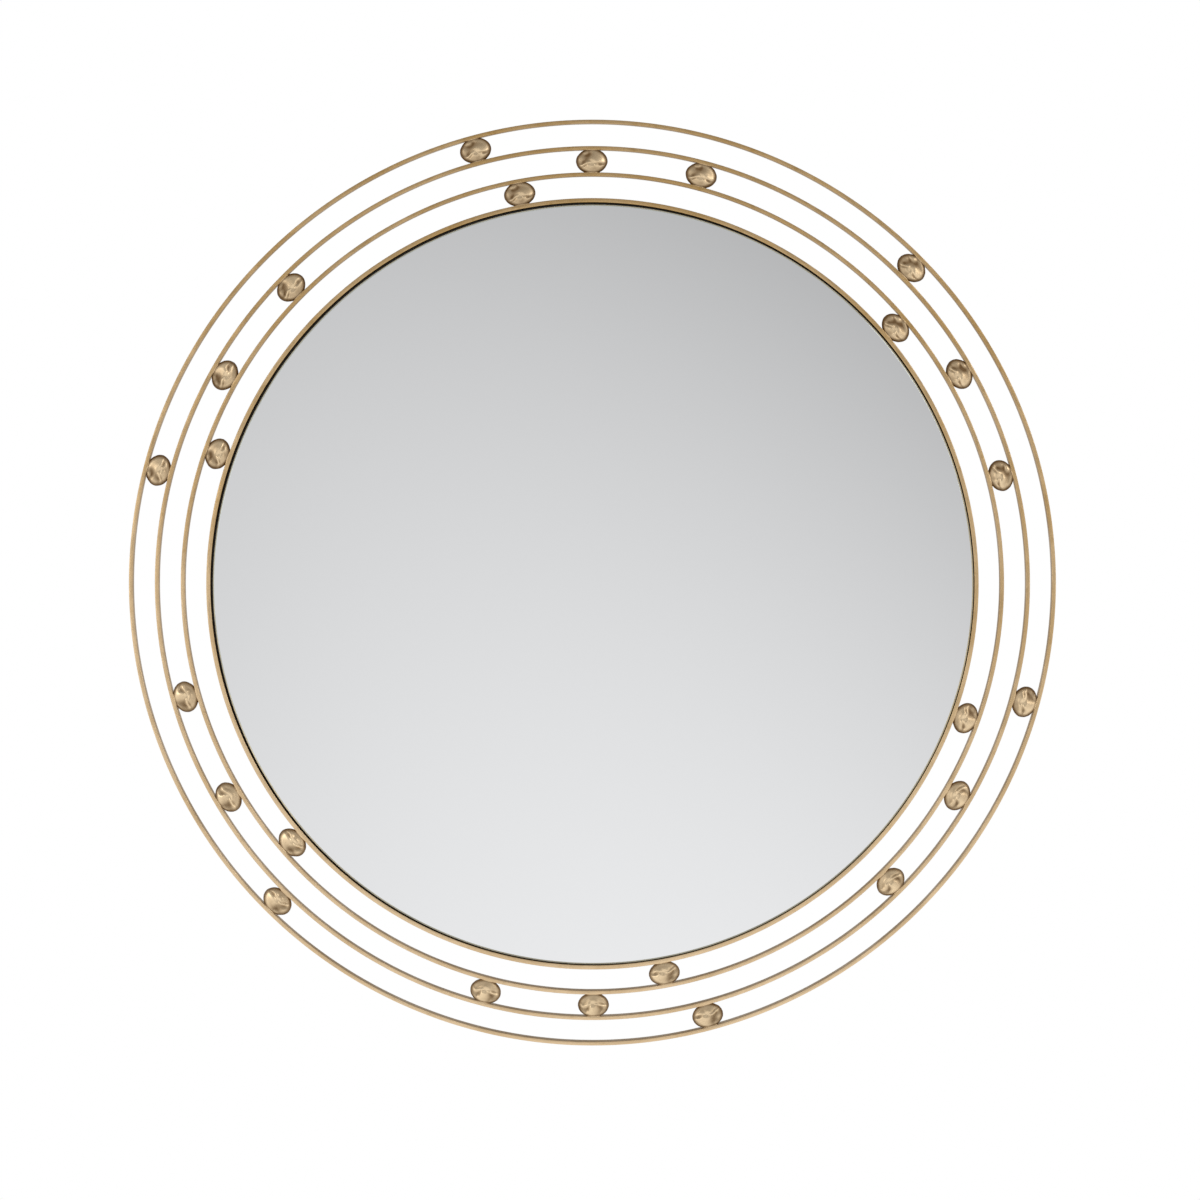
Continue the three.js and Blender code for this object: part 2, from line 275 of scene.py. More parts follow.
def geometry_tree(name, inputs):
    """A new geometry tree with one input for each name. Gives back its nodes, its inputs and its output."""
    tree = bpy.data.node_groups.new(name, "GeometryNodeTree")
    for label, kind in inputs.items():
        tree.interface.new_socket(label, in_out="INPUT", socket_type=SOCKETS[kind])
    tree.interface.new_socket("Geometry", in_out="OUTPUT", socket_type="NodeSocketGeometry")
    nodes = Nodes(tree)
    given = nodes.add("NodeGroupInput").outputs
    return nodes, given, nodes.add("NodeGroupOutput")


def close_tree(nodes, output, mesh, material, smooth=True):
    """Ends a geometry tree: smooth faces where they are wanted, real geometry and one material."""
    if smooth:
        mesh = nodes.put("GeometryNodeSetShadeSmooth", {"Geometry": mesh})
    real = nodes.put("GeometryNodeRealizeInstances", {"Geometry": mesh})
    painted = nodes.put("GeometryNodeSetMaterial", {"Geometry": real, "Material": material})
    nodes.tree.links.new(painted, output.inputs[0])
    return nodes.tree


def grown(name, tree, values):
    """Runs a geometry tree with the given inputs and gives back a new object with its plain mesh."""
    piece = add_object(name, bpy.data.meshes.new(name))
    modifier = piece.modifiers.new("Grown", "NODES")
    modifier.node_group = tree
    for item in tree.interface.items_tree:
        if item.in_out == "INPUT":
            modifier[item.identifier] = values[item.name]
    piece.update_tag()
    mesh = plain_mesh(piece, preserve_all_data_layers=True)
    piece.modifiers.clear()
    empty = piece.data
    piece.data = mesh
    bpy.data.meshes.remove(empty)
    mesh.name = name
    if not mesh.polygons:
        raise RuntimeError(name + " came out empty")
    return piece


# Mesh helpers

def add_object(name, data, *materials):
    piece = bpy.data.objects.new(name, data)
    bpy.context.scene.collection.objects.link(piece)
    for one in materials:
        data.materials.append(one)
    return piece


def plain_mesh(piece, **options):
    """What a piece's modifiers, or its curve, make of it, as a new mesh."""
    graph = bpy.context.evaluated_depsgraph_get()
    return bpy.data.meshes.new_from_object(piece.evaluated_get(graph), depsgraph=graph, **options)


def arc(centre, radius, start, sweep, steps):
    """Points along an arc, with both its ends."""
    turns = [start + sweep * i / steps for i in range(steps + 1)]
    return [(centre[0] + radius * math.cos(t), centre[1] + radius * math.sin(t)) for t in turns]


def take_mesh(shape, name, crease=40.0):
    """Turns a bmesh into a mesh with outward faces, smooth but for edges sharper than the crease angle."""
    bmesh.ops.recalc_face_normals(shape, faces=shape.faces)
    mesh = bpy.data.meshes.new(name)
    shape.to_mesh(mesh)
    shape.free()
    mesh.shade_smooth()
    mesh.set_sharp_from_angle(angle=math.radians(crease))
    for face in mesh.polygons:
        face.use_smooth = face.area < FLAT_AREA
    return mesh


def rounded(corners, steps=5):
    """Fillets the corners (u, v, radius) of an open line. Gives back its points."""
    points = [Vector(corners[0][:2])]
    for before, corner, after in zip(corners, corners[1:], corners[2:]):
        at = Vector(corner[:2])
        radius = corner[2]
        if radius <= 0:
            points.append(at)
            continue
        back = (Vector(before[:2]) - at).normalized()
        on = (Vector(after[:2]) - at).normalized()
        half = back.angle(on) / 2
        centre = at + (back + on).normalized() * radius / math.sin(half)
        start = at + back * radius / math.tan(half) - centre
        sweep = start.angle_signed(at + on * radius / math.tan(half) - centre)
        for i in range(steps + 1):
            turned = start.copy()
            turned.rotate(Matrix.Rotation(-sweep * i / steps, 2))
            points.append(centre + turned)
    points.append(Vector(corners[-1][:2]))
    return points


def lathe(profile, steps):
    """A closed solid turned round the Y axis from (radius, distance from the wall) points."""
    shape = bmesh.new()
    hoops = []
    for radius, depth in profile:
        if radius < TOUCHING:
            hoops.append([shape.verts.new((0, -depth, 0))])
            continue
        turns = [TURN * i / steps for i in range(steps)]
        hoops.append([
            shape.verts.new((radius * math.cos(t), -depth, radius * math.sin(t))) for t in turns])
    for low, high in zip(hoops, hoops[1:]):
        for i in range(steps):
            j = (i + 1) % steps
            if len(low) == 1:
                shape.faces.new((low[0], high[i], high[j]))
            elif len(high) == 1:
                shape.faces.new((low[i], high[0], low[j]))
            else:
                shape.faces.new((low[i], high[i], high[j], low[j]))
    return shape


def plate(outline, back, front, edge):
    """A flat plate from its (x, z) outline, with its rim rounded."""
    shape = bmesh.new()
    face = shape.faces.new([shape.verts.new((x, -front, z)) for x, z in outline])
    rim = bmesh.ops.extrude_face_region(shape, geom=[face])
    moved = [part for part in rim["geom"] if isinstance(part, bmesh.types.BMVert)]
    bmesh.ops.translate(shape, verts=moved, vec=(0, front - back, 0))
    sides = [e for e in shape.edges if abs(e.verts[0].co.y - e.verts[1].co.y) < 1e-7]
    bmesh.ops.bevel(shape, geom=sides, offset=edge, segments=3, profile=0.5, affect="EDGES")
    return shape


def wire(points, radius, sides):
    """A round wire along points, with closed ends."""
    curve = bpy.data.curves.new("wire", "CURVE")
    curve.dimensions = "3D"
    curve.bevel_depth = radius
    curve.bevel_resolution = sides // 4
    curve.use_fill_caps = True
    spline = curve.splines.new("POLY")
    spline.points.add(len(points) - 1)
    for place, point in zip(spline.points, points):
        place.co = (*point, 1)
    host = add_object("wire", curve)
    mesh = plain_mesh(host)
    shape = bmesh.new()
    shape.from_mesh(mesh)
    bmesh.ops.remove_doubles(shape, verts=shape.verts, dist=TOUCHING)
    bpy.data.objects.remove(host)
    bpy.data.curves.remove(curve)
    bpy.data.meshes.remove(mesh)
    return shape


def finish(piece, body, slot, *nodes):
    """Says what a piece rides on and hides the nodes that it stands for. The slot is not used."""
    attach(piece, body)
    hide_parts(*nodes)
    return piece


# Materials

def emptied(owner):
    """The node tree of a material or a world, ready to be filled."""
    owner.use_nodes = True
    owner.node_tree.nodes.clear()
    return Nodes(owner.node_tree)


def new_material(name, **sockets):
    """A material with a plain shader. Gives back the material, its nodes and its shader."""
    material = bpy.data.materials.new(name)
    nodes = emptied(material)
    shader = nodes.add("ShaderNodeBsdfPrincipled")
    for label, value in sockets.items():
        shader.inputs[label.replace("_", " ")].default_value = value
    nodes.add("ShaderNodeOutputMaterial", {"Surface": shader.outputs[0]})
    return material, nodes, shader


def drive(nodes, shader, **sockets):
    for label, value in sockets.items():
        nodes.tree.links.new(value, shader.inputs[label.replace("_", " ")])


def place_on_piece(nodes):
    return nodes.add("ShaderNodeTexCoord").outputs["Object"]


def rgba(value):
    return (*value, 1.0)


def painted_top_shade(nodes, x, z, most):
    """Painted shade: darker towards the top of the mirror than at its foot, and a little darker at its right."""
    slope = nodes.plus(z, nodes.times(x, 0.15))
    foot = -0.45
    top = 0.42
    return nodes.ease(slope, foot, top, 0.0, most)


def brass_strip(finishes):
    """Rubbed brass with a fine grain along the strips and clouds of dark wax, with painted shade on its inward
    faces and towards the top of the mirror.
    """
    material, nodes, shader = new_material("rubbed_brass_strip", Metallic=1.0)
    place = place_on_piece(nodes)
    x, y, z = nodes.split(place)
    radius = nodes.hypotenuse(x, z)
    along = nodes.vector(nodes.over(x, radius), nodes.times(y, 55.0), nodes.over(z, radius))
    grain = nodes.noise(along, 32.0, 2.0, nodes.times(radius, 55.0))
    clouds = nodes.noise(place, 13.0, 4.0)
    spots = nodes.noise(place, 150.0, 3.0)
    normal = nodes.add("ShaderNodeNewGeometry").outputs["Normal"]
    outward = nodes.vector(nodes.over(x, radius), 0.0, nodes.over(z, radius))
    facing = nodes.add("ShaderNodeVectorMath", (normal, outward), operation="DOT_PRODUCT").outputs[1]
    # Painted shade on the faces that look inward, towards the centre of the mirror.
    inside = nodes.ease(facing, -0.35, -0.95)
    cloudy = nodes.ease(clouds, 0.38, 0.66, 0.0, 0.20)
    spotty = nodes.ease(spots, 0.56, 0.72, 0.0, 0.12)
    worn = nodes.ease(grain, 0.35, 0.70, 0.04, 0.0)
    wax_and_shade = nodes.plus(nodes.plus(cloudy, spotty), nodes.plus(worn, nodes.times(inside, 0.22)))
    # Painted shade towards the top of the mirror.
    wax_and_shade = nodes.plus(wax_and_shade, painted_top_shade(nodes, x, z, 0.50))
    tone = nodes.blend(wax_and_shade, rgba(finishes.brass), rgba(finishes.brass_patina_and_shade))
    rough = nodes.plus(nodes.ease(grain, 0.3, 0.7, -0.05, 0.06), finishes.brass_roughness)
    rough = nodes.plus(rough, nodes.times(cloudy, 0.35))
    surface = nodes.bump(grain, 0.35, 0.0004)
    surface = nodes.bump(nodes.noise(place, 22.0, 1.0), 0.5, 0.006, surface)
    drive(nodes, shader, Base_Color=tone, Roughness=rough, Normal=surface)
    return material


def brass_bead(finishes):
    """Hammered brass with dark wax in its folds and round its rim, deepened there into painted shade, and painted
    shade towards the top of the mirror. The darkening dulls the metal as it thickens.
    """
    material, nodes, shader = new_material("hammered_brass_bead", IOR=1.35)
    place = place_on_piece(nodes)
    x, y, z = nodes.split(place)
    hollow = nodes.add("ShaderNodeAttribute", attribute_name="hollow").outputs["Fac"]
    clouds = nodes.noise(place, 95.0, 3.0)
    spots = nodes.noise(place, 420.0, 2.0)
    wax_and_shade = nodes.plus(hollow, nodes.ease(clouds, 0.40, 0.68, 0.0, 0.12))
    wax_and_shade = nodes.plus(wax_and_shade, nodes.ease(spots, 0.58, 0.78, 0.0, 0.06))
    # Painted shade towards the top of the mirror.
    wax_and_shade = nodes.plus(wax_and_shade, painted_top_shade(nodes, x, z, 0.14))
    tone = nodes.blend(wax_and_shade, rgba(finishes.bead_brass), rgba(finishes.bead_patina_and_shade))
    rough = nodes.plus(nodes.times(wax_and_shade, 0.20), finishes.bead_roughness)
    surface = nodes.bump(clouds, 0.02, 0.0006)
    surface = nodes.bump(spots, 0.02, 0.0002, surface)
    metal = nodes.ease(wax_and_shade, 0.45, 1.0, 1.0, 0.25)
    drive(nodes, shader, Base_Color=tone, Roughness=rough, Metallic=metal, Normal=surface)
    return material


def silvered_glass(finishes):
    """The reflecting face. Only its roughness wavers, far too little to cloud the reflection."""
    material, nodes, shader = new_material("silvered_glass", Metallic=1.0)
    shader.inputs["Base Color"].default_value = rgba(finishes.silver)
    film = nodes.noise(place_on_piece(nodes), 6.0, 3.0)
    drive(nodes, shader, Roughness=nodes.ease(film, 0.4, 0.7, 0.012, 0.022))
    return material


def mottled(name, tone, twin, pattern, colours, roughness, relief=None, **sockets):
    """A finish with its colour and its roughness mottled by noise.

    The pattern is the noise's scale and detail, and the colours are its values where the twin starts and is full.
    The relief is the scale and detail of its own noise, then the bump's strength and depth.
    """
    material, nodes, shader = new_material(name, **sockets)
    place = place_on_piece(nodes)
    noise = nodes.noise(place, *pattern)
    tone = Vector(tone)
    shade = nodes.blend(nodes.ease(noise, *colours), rgba(tone), rgba(tone * twin))
    drive(nodes, shader, Base_Color=shade, Roughness=nodes.ease(noise, 0.3, 0.7, *roughness))
    if relief:
        scale, detail, strength, depth = relief
        drive(nodes, shader, Normal=nodes.bump(nodes.noise(place, scale, detail), strength, depth))
    return material


def polished_edge(finishes):
    return mottled(
        "polished_glass_edge", finishes.glass_edge, 0.9, (40.0, 2.0), (0.3, 0.7), (0.05, 0.11),
        Metallic=0.55, IOR=1.52)


def grey_paint(finishes):
    return mottled(
        "mirror_back_paint", finishes.mirror_back, 0.82, (55.0, 5.0), (0.3, 0.7), (0.45, 0.6), IOR=1.5)


def painted_board(finishes):
    """Black paint on fibre board: rolled on, a little dusty, with a fine orange peel."""
    material, nodes, shader = new_material("black_painted_board", IOR=1.45)
    place = place_on_piece(nodes)
    peel = nodes.noise(place, 520.0, 2.0)
    dust = nodes.noise(place, 9.0, 6.0)
    fibre = nodes.noise(place, 1400.0, 1.0)
    board = Vector(finishes.board)
    shade = nodes.blend(nodes.ease(dust, 0.40, 0.72, 0.0, 0.8), rgba(board), rgba(board * 3.0))
    surface = nodes.bump(peel, 0.40, 0.0008)
    surface = nodes.bump(fibre, 0.12, 0.0003, surface)
    rough = nodes.plus(nodes.ease(dust, 0.35, 0.7, 0.42, 0.66), nodes.ease(peel, 0.3, 0.7, -0.06, 0.06))
    drive(nodes, shader, Base_Color=shade, Roughness=rough, Normal=surface)
    return material


def zinc_steel(finishes):
    """Zinc-plated steel: faint spangle, drawn lines and duller patches."""
    material, nodes, shader = new_material("zinc_plated_steel", Metallic=1.0)
    place = place_on_piece(nodes)
    spangle = nodes.noise(place, 700.0, 2.0)
    patches = nodes.noise(place, 120.0, 3.0)
    drawn = nodes.put("ShaderNodeMapping", {"Vector": place, "Scale": (1.0, 1.0, 0.06)})
    lines = nodes.noise(drawn, 2600.0, 1.0)
    steel = Vector(finishes.steel)
    dull = Vector((steel.x * 0.74, steel.y * 0.73, steel.z * 0.70))
    shade = nodes.blend(nodes.ease(patches, 0.35, 0.7), rgba(steel), rgba(dull))
    rough = nodes.plus(nodes.ease(spangle, 0.35, 0.65, -0.05, 0.07), finishes.steel_roughness)
    surface = nodes.bump(lines, 0.08, 0.0002)
    surface = nodes.bump(spangle, 0.10, 0.0003, surface)
    drive(nodes, shader, Base_Color=shade, Roughness=rough, Normal=surface)
    return material


def foam_tape(finishes):
    cells = (1500.0, 2.0)
    return mottled(
        "foam_tape", finishes.foam, 0.8, cells, (0.4, 0.65), (0.82, 0.95), (*cells, 0.3, 0.0004), IOR=1.4)


def bumper_rubber(finishes):
    bloom = (130.0, 4.0)
    grain = (900.0, 3.0)
    return mottled(
        "bumper_rubber", finishes.rubber, 2.2, bloom, (0.4, 0.75), (0.55, 0.75), (*grain, 0.15, 0.0003),
        IOR=1.5)


MAKERS = {
    "strip": brass_strip,
    "bead": brass_bead,
    "silver": silvered_glass,
    "edge": polished_edge,
    "paint": grey_paint,
    "board": painted_board,
    "steel": zinc_steel,
    "foam": foam_tape,
    "rubber": bumper_rubber,
}
made_materials = {}


def material(kind):
    """The material of a kind, made the first time that it is asked for."""
    if kind not in made_materials:
        made_materials[kind] = MAKERS[kind](getattr(bpy.context.scene, FINISHES))
    return made_materials[kind]


# Rings

def ring_tree():
    """A strip rolled on edge into a ring about the Y axis, with rounded arrises and a slight wander."""
    nodes, given, output = geometry_tree("rolled_strip_ring", {
        "Outer Radius": float,
        "Thickness": float,
        "Back": float,
        "Front": float,
        "Arris": float,
        "Wander": float,
        "Steps": int,
        "Seed": float,
        "Material": "material",
    })
    half = nodes.times(given["Thickness"], 0.5)
    hoop = nodes.add("GeometryNodeCurvePrimitiveCircle", {
        "Resolution": given["Steps"],
        "Radius": nodes.minus(given["Outer Radius"], half),
    }).outputs[0]
    section = nodes.add("GeometryNodeCurvePrimitiveQuadrilateral", {
        "Width": given["Thickness"],
        "Height": nodes.minus(given["Front"], given["Back"]),
    }).outputs[0]
    fillet = nodes.add("GeometryNodeFilletCurve", {
        "Curve": section, "Count": 4, "Radius": given["Arris"], "Limit Radius": True}, mode="POLY")
    swept = nodes.put("GeometryNodeCurveToMesh", {"Curve": hoop, "Profile Curve": fillet.outputs[0]})
    depth = nodes.times(nodes.plus(given["Front"], given["Back"]), -0.5)
    stood = nodes.add("GeometryNodeTransform", {
        "Geometry": swept,
        "Translation": nodes.vector(0.0, depth, 0.0),
        "Rotation": (math.pi / 2, 0.0, 0.0),
    }).outputs[0]
    x, y, z = nodes.split(nodes.add("GeometryNodeInputPosition").outputs[0])
    radius = nodes.hypotenuse(x, z)
    outward = nodes.vector(nodes.over(x, radius), 0.0, nodes.over(z, radius))
    wave = nodes.noise(outward, 2.6, 2.0, given["Seed"])
    stray = nodes.times(nodes.minus(wave, 0.5), given["Wander"])
    offset = nodes.add("ShaderNodeVectorMath", {0: outward, 3: stray}, operation="SCALE").outputs[0]
    strayed = nodes.add("GeometryNodeSetPosition", {"Geometry": stood, "Offset": offset}).outputs[0]
    return close_tree(nodes, output, strayed, given["Material"])


class RINGMIRROR_OT_rings(bpy.types.Operator):
    """Rolls the three strips and the band round the glass"""

    bl_idname = "ringmirror.rings"
    bl_label = "Rings"

    def execute(self, context):
        sizes = getattr(context.scene, SIZES)
        tree = ring_tree()
        rings = (
            ("outer_ring", "rolled_outer_ring", sizes.strip_thickness),
            ("second_ring", "rolled_second_ring", sizes.strip_thickness),
            ("third_ring", "rolled_third_ring", sizes.strip_thickness),
            ("mirror_frame_ring", "rolled_glass_band", sizes.band_thickness),
        )
        for seed, (node, name, thickness) in enumerate(rings):
            piece = grown(name, tree, {
                "Outer Radius": reach(node),
                "Thickness": thickness,
                "Back": back_of(node),
                "Front": front_of(node),
                "Arris": sizes.strip_arris,
                "Wander": sizes.strip_wander,
                "Steps": sizes.ring_steps,
                "Seed": float(seed),
                "Material": material("strip"),
            })
            piece.data.set_sharp_from_angle(angle=math.radians(50))
            finish(piece, BODY, "aged_brass", node)
        return {"FINISHED"}


# Beads

def bead_tree():
    """A hammered bead pressed between two strips, with a weld round each pressed side.

    It is shaped with X along the ring, Y along the radius and its crown towards +Z, then set in its place.
    """
    nodes, given, output = geometry_tree("hammered_bead", {
        "Length": float,
        "Gap": float,
        "Depth": float,
        "Press": float,
        "Embed": float,
        "Fold Depth": float,
        "Dent Depth": float,
        "Weld Radius": float,
        "Ring Radius": float,
        "Angle": float,
        "Distance": float,
        "Seed": float,
        "Material": "material",
    })
    ball = nodes.add("GeometryNodeMeshIcoSphere", {"Radius": 1.0, "Subdivisions": 6}).outputs[0]
    x, y, z = nodes.split(nodes.add("GeometryNodeInputPosition").outputs[0])
    girth = nodes.math("MAXIMUM", nodes.hypotenuse(x, y), 1e-4)
    across = nodes.signed_power(nodes.over(x, girth), 1.04)
    upward = nodes.signed_power(nodes.over(y, girth), 1.04)
    full = nodes.math("POWER", girth, 0.92)
    height = nodes.math("POWER", nodes.math("ABSOLUTE", z), 0.88)
    across = nodes.times(across, full)
    upward = nodes.times(upward, full)

    seeded = nodes.vector(across, upward, nodes.times(z, 0.4))
    warp = nodes.minus(nodes.noise(seeded, 0.9, 0.0, given["Seed"]), 0.5)
    from_x = nodes.minus(across, 0.04)
    from_y = nodes.plus(upward, 0.16)
    bearing = nodes.math("ARCTAN2", from_y, from_x)
    spread = nodes.hypotenuse(from_x, from_y)
    bearing = nodes.plus(bearing, nodes.times(warp, 4.0))
    swing = nodes.times(nodes.math("SINE", nodes.plus(nodes.times(bearing, 2.0), 0.6)), 0.4)
    bearing = nodes.plus(bearing, swing)
    four = nodes.math("SINE", nodes.plus(nodes.times(bearing, 4.0), 0.9))
    four = nodes.signed_power(nodes.times(nodes.plus(four, 1.0), 0.5), 1.4)
    three = nodes.math("SINE", nodes.plus(nodes.times(bearing, 3.0), 2.1))
    folds = nodes.plus(nodes.times(four, 0.65), nodes.times(nodes.plus(three, 1.0), 0.18))
    opening = nodes.ease(spread, 0.0, 0.60)
    closing = nodes.ease(girth, 0.98, 0.5)
    folds = nodes.times(folds, nodes.times(opening, closing))
    dimple = nodes.ease(spread, 0.34, 0.0)
    cells = nodes.add("ShaderNodeTexVoronoi", {
        "Vector": seeded, "W": given["Seed"], "Scale": 1.5, "Smoothness": 0.6,
    }, feature="SMOOTH_F1", voronoi_dimensions="4D").outputs[0]
    dents = nodes.times(nodes.minus(0.6, nodes.times(cells, cells)), closing)
    sunk = nodes.plus(nodes.times(folds, given["Fold Depth"]), nodes.times(dents, given["Dent Depth"]))
    sunk = nodes.plus(sunk, nodes.times(dimple, nodes.times(given["Fold Depth"], 0.55)))

    half_depth = nodes.times(given["Depth"], 0.5)
    crown = nodes.minus(nodes.times(height, half_depth), sunk)
    crown = nodes.times(nodes.math("MAXIMUM", crown, 0.0), nodes.math("SIGN", z))
    ripple = nodes.minus(nodes.noise(nodes.vector(across, upward, 0.0), 2.4, 1.0, given["Seed"]), 0.5)
    ripple = nodes.plus(1.0, nodes.times(ripple, 0.05))
    wide = nodes.times(nodes.times(across, ripple), nodes.times(given["Length"], 0.5))
    half_gap = nodes.times(given["Gap"], 0.5)
    tall = nodes.times(nodes.times(upward, ripple), nodes.plus(half_gap, given["Press"]))
    limit = nodes.plus(half_gap, given["Embed"])
    tall = nodes.math("MINIMUM", tall, limit)
    tall = nodes.math("MAXIMUM", tall, nodes.times(limit, -1.0))

    # Dark wax in the folds and round the rim, deepened into painted shade in the folds and at the rim, where the
    # bead turns away and meets the strips; the back half, towards the wall, is darker as well.
    rim = nodes.ease(girth, 0.66, 0.95, 0.0, 0.88)
    fold_wax_and_shade = nodes.times(folds, 0.86)
    behind = nodes.ease(z, 0.0, -0.5, 0.0, 0.35)
    hollow = nodes.math("MINIMUM", nodes.plus(nodes.plus(rim, fold_wax_and_shade), behind), 0.95)
    marked = nodes.add("GeometryNodeStoreNamedAttribute", {
        "Geometry": ball, "Name": "hollow", "Value": hollow}, data_type="FLOAT", domain="POINT").outputs[0]
    bead = nodes.add("GeometryNodeSetPosition", {
        "Geometry": marked, "Position": nodes.vector(wide, tall, crown)}).outputs[0]

    hoop = nodes.add("GeometryNodeCurvePrimitiveCircle", {"Resolution": 40, "Radius": 1.0}).outputs[0]
    rope = nodes.add("GeometryNodeCurvePrimitiveCircle", {
        "Resolution": 10, "Radius": given["Weld Radius"]}).outputs[0]
    oval = nodes.put("GeometryNodeTransform", {"Geometry": hoop, "Rotation": UPRIGHT, "Scale": WELD_OVAL})
    weld = nodes.add("GeometryNodeCurveToMesh", {"Curve": oval, "Profile Curve": rope}).outputs[0]
    wobble = nodes.noise(nodes.add("GeometryNodeInputPosition").outputs[0], 420.0, 2.0, given["Seed"])
    wobble = nodes.times(nodes.minus(wobble, 0.5), WELD_WOBBLE)
    lumpy = nodes.add("GeometryNodeSetPosition", {
        "Geometry": weld, "Offset": nodes.vector(wobble, 0.0, wobble)}).outputs[0]
    lumpy = nodes.add("GeometryNodeStoreNamedAttribute", {
        "Geometry": lumpy, "Name": "hollow", "Value": 0.12}, data_type="FLOAT", domain="POINT").outputs[0]
    joined = nodes.add("GeometryNodeJoinGeometry")
    for side in (1.0, -1.0):
        moved = nodes.add("GeometryNodeTransform", {
            "Geometry": lumpy, "Translation": nodes.vector(0.0, nodes.times(half_gap, side), 0.0)}).outputs[0]
        nodes.tree.links.new(moved, joined.inputs[0])
    nodes.tree.links.new(bead, joined.inputs[0])

    turn = nodes.vector(0.0, 0.0, nodes.minus(given["Angle"], math.pi / 2))
    place = nodes.vector(
        nodes.times(nodes.math("COSINE", given["Angle"]), given["Ring Radius"]),
        nodes.times(nodes.math("SINE", given["Angle"]), given["Ring Radius"]),
        given["Distance"])
    laid = nodes.add("GeometryNodeTransform", {
        "Geometry": joined.outputs[0],
        "Translation": place,
        "Rotation": nodes.add("FunctionNodeEulerToRotation", (turn,)).outputs[0],
    }).outputs[0]
    stood = nodes.put("GeometryNodeTransform", {"Geometry": laid, "Rotation": UPRIGHT})
    return close_tree(nodes, output, stood, given["Material"])


class RINGMIRROR_OT_beads(bpy.types.Operator):
    """Hammers the beads and welds them between the strips"""

    bl_idname = "ringmirror.beads"
    bl_label = "Beads"

    def execute(self, context):
        sizes = getattr(context.scene, SIZES)
        tree = bead_tree()
        pair = (sizes.middle_bead_angle, sizes.middle_partner_angle)
        rows = (
            ("outer_bead", "outer_ring", "second_ring", (sizes.outer_bead_angle,)),
            ("middle_bead", "second_ring", "third_ring", pair),
            ("inner_bead", "third_ring", "mirror_frame_ring", (sizes.inner_bead_angle,)),
        )
        for row, outside, inside, first_angles in rows:
            inner_face = reach(outside) - sizes.strip_thickness
            outer_face = reach(inside)
            number = 0
            for fold in range(FOLDS):
                for first in first_angles:
                    number += 1
                    node = f"{row}_{number}"
                    back = back_of(node)
                    front = front_of(node)
                    piece = grown(f"hammered_{node}", tree, {
                        "Length": sizes.bead_length,
                        "Gap": inner_face - outer_face,
                        "Depth": front - back,
                        "Press": sizes.bead_press,
                        "Embed": sizes.bead_embed,
                        "Fold Depth": sizes.fold_depth,
                        "Dent Depth": sizes.dent_depth,
                        "Weld Radius": sizes.weld_radius,
                        "Ring Radius": (inner_face + outer_face) / 2,
                        "Angle": first + fold * TURN / FOLDS,
                        "Distance": (front + back) / 2,
                        "Seed": number * 0.13,
                        "Material": material("bead"),
                    })
                    finish(piece, BODY, "hammered_brass", node)
        return {"FINISHED"}


# Glass and board

class RINGMIRROR_OT_glass(bpy.types.Operator):
    """Cuts the glass, with its silvered face, its polished arris and its painted back"""

    bl_idname = "ringmirror.glass"
    bl_label = "Glass"

    def execute(self, context):
        sizes = getattr(context.scene, SIZES)
        node = "mirror_glass"
        radius = reach(node)
        back = back_of(node)
        front = front_of(node)
        profile = rounded([
            (0, back, 0),
            (radius - 0.0004, back, 0),
            (radius, back + 0.0004, 0),
            (radius, front - sizes.arris_drop, 0.0003),
            (radius - sizes.glass_arris, front, 0.0002),
            (0, front, 0),
        ], 3)
        shape = lathe(profile, 480)
        place = middle(node)
        bmesh.ops.translate(shape, verts=shape.verts, vec=(place.x, 0, place.z))
        mesh = take_mesh(shape, "ground_mirror_glass", 12.0)
        for face in mesh.polygons:
            centre = face.center - place
            flat_out = math.hypot(centre.x, centre.z) < radius - sizes.glass_arris
            if face.normal.y < -0.999 and flat_out:
                face.material_index = 0
            elif face.normal.y > 0.999:
                face.material_index = 2
            else:
                face.material_index = 1
        faces = [material(kind) for kind in ("silver", "edge", "paint")]
        piece = add_object("ground_mirror_glass", mesh, *faces)
        finish(piece, BODY, "mirror_silver", node)
        return {"FINISHED"}


class RINGMIRROR_OT_board(bpy.types.Operator):
    """Cuts the painted board behind the glass, and finishes the tape between them"""

    bl_idname = "ringmirror.board"
    bl_label = "Board and tape"

    def execute(self, context):
        sizes = getattr(context.scene, SIZES)
        node = "backing_board"
        radius = reach("mirror_frame_ring") - sizes.band_thickness
        back = back_of(node)
        front = front_of(node)
        profile = rounded([
            (0, back, 0),
            (radius, back, sizes.board_edge),
            (radius, front, sizes.board_edge),
            (0, front, 0),
        ])
        mesh = take_mesh(lathe(profile, 360), "painted_backing_board", 30.0)
        piece = add_object("painted_backing_board", mesh, material("board"))
        finish(piece, BODY, "black_board", node)
        for name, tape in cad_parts.items():
            if name.startswith("mirror_tape_"):
                tape.data.materials.clear()
                tape.data.materials.append(material("foam"))
        return {"FINISHED"}


# Lugs, screws, hangers and bumpers

